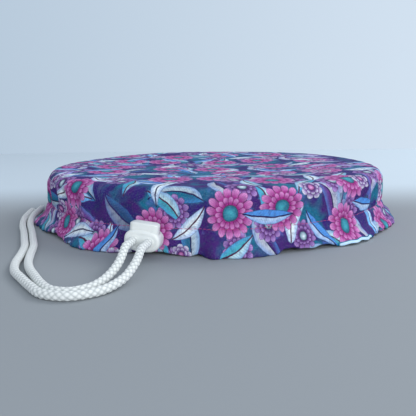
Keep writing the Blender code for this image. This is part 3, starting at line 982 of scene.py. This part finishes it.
def seam_object(rows_of_points, rows_of_normals):
    """An edge loop for each row, with the direction away from the cloth at each point."""
    points = np.vstack(rows_of_points)
    edges = []
    for start in range(0, len(points), columns):
        edges += [(start + j, start + (j + 1) % columns) for j in range(columns)]
    item = mesh_object("hem_stitching", points.tolist(), (), edges)
    write_values(item, "away", np.vstack(rows_of_normals), "FLOAT_VECTOR")
    return item


def seam_row(height, surface_line, outside):
    """Points and outward directions just off the cloth, at one height of the even profile."""
    order = np.argsort(surface_line[:, 1])
    found = []
    for z in (height - slope_step, height, height + slope_step):
        r = np.interp(z, surface_line[order, 1], surface_line[order, 0])
        found.append(gathered(np.full(columns, r), np.full(columns, z), angles, outside))
    rise = found[2] - found[0]
    ahead = np.roll(found[1], -1, axis=0) - np.roll(found[1], 1, axis=0)
    normal = np.cross(rise, ahead)
    normal /= np.linalg.norm(normal, axis=1)[:, None]
    flat_out = found[1] - np.array([0, centre_shift, 0])
    flip = np.sign((normal[:, :2] * flat_out[:, :2]).sum(axis=1))[:, None]
    normal = normal * flip * (1 if outside else -1)
    return found[1] + normal * thread_lift, normal


thread_magenta, shader = new_material("magenta sewing thread", {
    "Roughness": 0.5, "Sheen Weight": 0.2})
feed(shader, "Base Color", blend(cloudiness(shader, 2200), thread_dark, thread_light))
is_hem = (outside_line[:, 0] > ring_radius) & (outside_line[:, 1] < hem_top)
outer_hem = outside_line[is_hem]
inner_hem = outside_line[np.argmin(line[:, 1]):]
inner_hem = inner_hem[inner_hem[:, 1] > 2 * mm]
stitch_rows = [seam_row(height, hem, outwards) for hem, outwards in ((outer_hem, 1), (inner_hem, 0))
               for height in (stitch_height, lower_stitch_height)]
stitching = seam_object([row[0] for row in stitch_rows], [row[1] for row in stitch_rows])
sewn = stitching.modifiers.new("stitches", "NODES")
sewn.node_group = stitch_nodes()
wanted = {"Pitch": stitch_pitch, "Stitch length": stitch_length, "Thread": thread_size, "Seed": 7,
          "Material": thread_magenta}
for socket in sewn.node_group.interface.items_tree:
    if socket.in_out == "INPUT" and socket.name in wanted:
        sewn[socket.identifier] = wanted[socket.name]
settle(stitching)
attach(stitching, "cloth")

# Cord lock: a white moulded barrel with two cord holes, open at the top for the sprung button,
# whose own two slots pinch the cords until it is pressed; satin plastic, edges softly rounded.
barrel_width = 20.8 * mm
barrel_height = 12.7 * mm
barrel_squareness = 2.5
barrel_round = 1.8 * mm
barrel_floor = 1.05 * mm
barrel_edge = 0.22 * mm
# The front face, from its middle outwards: how far in from the outline and how deep, in mm.
barrel_face = ((4.8, -0.1), (3.6, 0.05), (2.8, 0.16), (2.5, 0.15), (2.2, 0.04), (2.0, 0.0))
barrel_back_inset = 3.0 * mm
hole_radius = cord_radius + 0.3 * mm
button_width = 16.7 * mm
button_depth = 7.6 * mm
button_corner = 2.6 * mm
button_round = 0.6 * mm
button_edge = 0.18 * mm
button_crown = 1.2 * mm
button_reach = 10.4 * mm
button_bridge = 0.75 * mm
button_clearance = 0.3 * mm
button_travel = 2.0 * mm
button_stop_gap = 0.15 * mm
pocket_radius = 1.35 * mm
pocket_roof = 5.0 * mm
round_steps = 8
barrel_bottom = -(hole_radius + button_bridge + button_travel + button_stop_gap + barrel_floor)
floor_height = barrel_bottom + barrel_floor
button_bottom = -hole_radius - button_bridge


def loft(name, sections):
    """A closed skin over rings of the same number of points, set in the lock's place."""
    points = [point for section in sections for point in section]
    points += [tuple(np.mean(np.array(section), axis=0)) for section in (sections[0], sections[-1])]
    placed = [tuple(lock_frame @ Vector(p)) for p in points]
    return mesh_object(name, placed, skin_faces(len(sections), len(sections[0])))


def rounded_rectangle(width, depth, corner, steps=8):
    outline = []
    for quarter in range(4):
        x = (width / 2 - corner) * (1 if quarter in (0, 3) else -1)
        y = (depth / 2 - corner) * (1 if quarter in (0, 1) else -1)
        for step in range(steps + 1):
            turn = (quarter + step / steps) * math.pi / 2
            outline.append((x + corner * math.cos(turn), y + corner * math.sin(turn)))
    return outline


def barrel_ring(inset, y, count=96):
    ring = []
    for step in range(count):
        turn = 2 * math.pi * step / count
        x = abs(math.cos(turn)) ** (2 / barrel_squareness) * math.copysign(1, math.cos(turn))
        z = abs(math.sin(turn)) ** (2 / barrel_squareness) * math.copysign(1, math.sin(turn))
        tall = (barrel_height / 2 if z > 0 else -barrel_bottom) - inset
        ring.append((x * (barrel_width / 2 - inset), y, z * tall))
    return ring


def hole_bar(side, rise, half_length, count=40):
    """A round bar along the cord's way, drawn out upwards by a rise, to cut a hole or a slot."""
    ring = []
    for step in range(count):
        turn = 2 * math.pi * (step + 0.5) / count
        lifted = rise if math.sin(turn) > 0 else 0.0
        ring.append((side * hole_spacing / 2 + hole_radius * math.cos(turn),
                     lifted + hole_radius * math.sin(turn)))
    return loft("hole", [[(x, y, z) for x, z in ring] for y in (-half_length, half_length)])


def upright_bar(name, outline, bottom, top):
    return loft(name, [[(x, y, z) for x, y in outline] for z in (bottom, top)])


def round_over(radius):
    """Steps of a rounded edge: how far in and how far down, from the flat face outwards."""
    turns = [step / round_steps * math.pi / 2 for step in range(round_steps + 1)]
    return [(radius * (1 - math.sin(turn)), radius * (1 - math.cos(turn))) for turn in turns]


def soften(item, width):
    """Small even bevels on the edges that the cuts left sharp."""
    bevel = item.modifiers.new("soft edges", "BEVEL")
    bevel.width = width
    bevel.segments = 3
    bevel.limit_method = "ANGLE"
    bevel.angle_limit = math.radians(38)
    settle(item)
    item.data.shade_smooth()
    item.data.set_sharp_from_angle(angle=math.radians(35))


half = barrel_depth / 2
sections = [barrel_ring(inset * mm, depth * mm - half) for inset, depth in barrel_face]
sections += [barrel_ring(inset, down - half) for inset, down in round_over(barrel_round)]
sections += [barrel_ring(inset, half - down) for inset, down in round_over(barrel_round)[::-1]]
sections.append(barrel_ring(barrel_back_inset, half))
barrel = loft("moulded_barrel", sections)
well = rounded_rectangle(button_width + 2 * button_clearance, button_depth + 2 * button_clearance,
                         button_corner + button_clearance)
carve(barrel, [upright_bar("well", well, floor_height, 2 * button_reach),
               hole_bar(-1, 0.0, barrel_depth), hole_bar(1, 0.0, barrel_depth)])
soften(barrel, barrel_edge)


def button_ring(inset, height, crowned=True):
    """The button's outline, drawn in by an inset, its ends lower where the top is crowned."""
    drop = button_crown if crowned else 0.0
    outline = rounded_rectangle(button_width - 2 * inset, button_depth - 2 * inset,
                                button_corner - min(inset, 2.0 * mm))
    return [(x, y, height - drop * (2 * x / button_width) ** 2) for x, y in outline]


sections = [button_ring(inset * mm, button_bottom + up * mm, False)
            for inset, up in ((1.5, 0.0), (0.3, 0.0), (0.0, 0.3))]
sections.append(button_ring(0.0, button_reach - 3 * mm, False))
sections += [button_ring(inset, button_reach - down) for down, inset in round_over(button_round)]
sections += [button_ring(inset * mm, button_reach + 0.1 * mm) for inset in (1.4, 2.4, 3.4)]
button = loft("moulded_button", sections)
pocket = [(pocket_radius * math.cos(t), pocket_radius * math.sin(t))
          for t in np.arange(32) * math.pi / 16]
carve(button, [hole_bar(-1, button_travel, button_depth), hole_bar(1, button_travel, button_depth),
               upright_bar("pocket", pocket, button_bottom - 2 * mm, pocket_roof)])
soften(button, button_edge)

lock_white, shader = new_material("white satin plastic", {
    "Roughness": 0.32, "Subsurface Weight": 0.12, "Subsurface Scale": 1.0,
    "Subsurface Radius": (0.8 * mm, 0.9 * mm, 1.0 * mm)})
cloudy = cloudiness(shader, 220, 3)
feed(shader, "Base Color", blend(cloudy, (0.76, 0.80, 0.79), (0.82, 0.86, 0.85)))
feed(shader, "Roughness", maths("MULTIPLY_ADD", cloudy, 0.2, 0.22))
add_bump(shader, cloudiness(shader, 1400), 0.02 * mm, 0.35)
for item, node, body in ((barrel, "lock_barrel", "cord_lock"), (button, "lock_button", "button")):
    item.data.materials.clear()
    item.data.materials.append(lock_white)
    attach(item, body)
    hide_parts(node)

# Spring: a small coil of drawn steel wire with closed ends, standing on the barrel's floor and
# reaching into the button's pocket.
spring_diameter = 2.4 * mm
spring_wire = 0.36 * mm
spring_turns = 8
spring_closing = 0.25
spring_seat_gap = 0.1 * mm
turn_steps = 28
low = floor_height + spring_seat_gap
high = pocket_roof - spring_seat_gap
coil_radius = (spring_diameter - spring_wire) / 2
coil = []
for step in range(spring_turns * turn_steps + 1):
    share = step / (spring_turns * turn_steps)
    turn = 2 * math.pi * step / turn_steps
    rise = share + (share * share * (3 - 2 * share) - share) * spring_closing
    height = low + spring_wire / 2 + (high - low - spring_wire) * rise
    across, ahead = coil_radius * math.cos(turn), coil_radius * math.sin(turn)
    coil.append(lock_frame @ Vector((across, ahead, height)))
spring = round_bar("coil_spring", coil, spring_wire / 2, sides=16)
spring.data.shade_smooth()
steel, shader = new_material("drawn spring steel", {"Roughness": 0.3, "Metallic": 1.0})
drawn = cloudiness(shader, 3000)
feed(shader, "Base Color", blend(drawn, (0.42, 0.42, 0.43), (0.66, 0.66, 0.67)))
feed(shader, "Roughness", maths("MULTIPLY_ADD", drawn, 0.25, 0.18))
spring.data.materials.append(steel)
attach(spring, "cord_lock")
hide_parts("lock_spring")
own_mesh(spring)
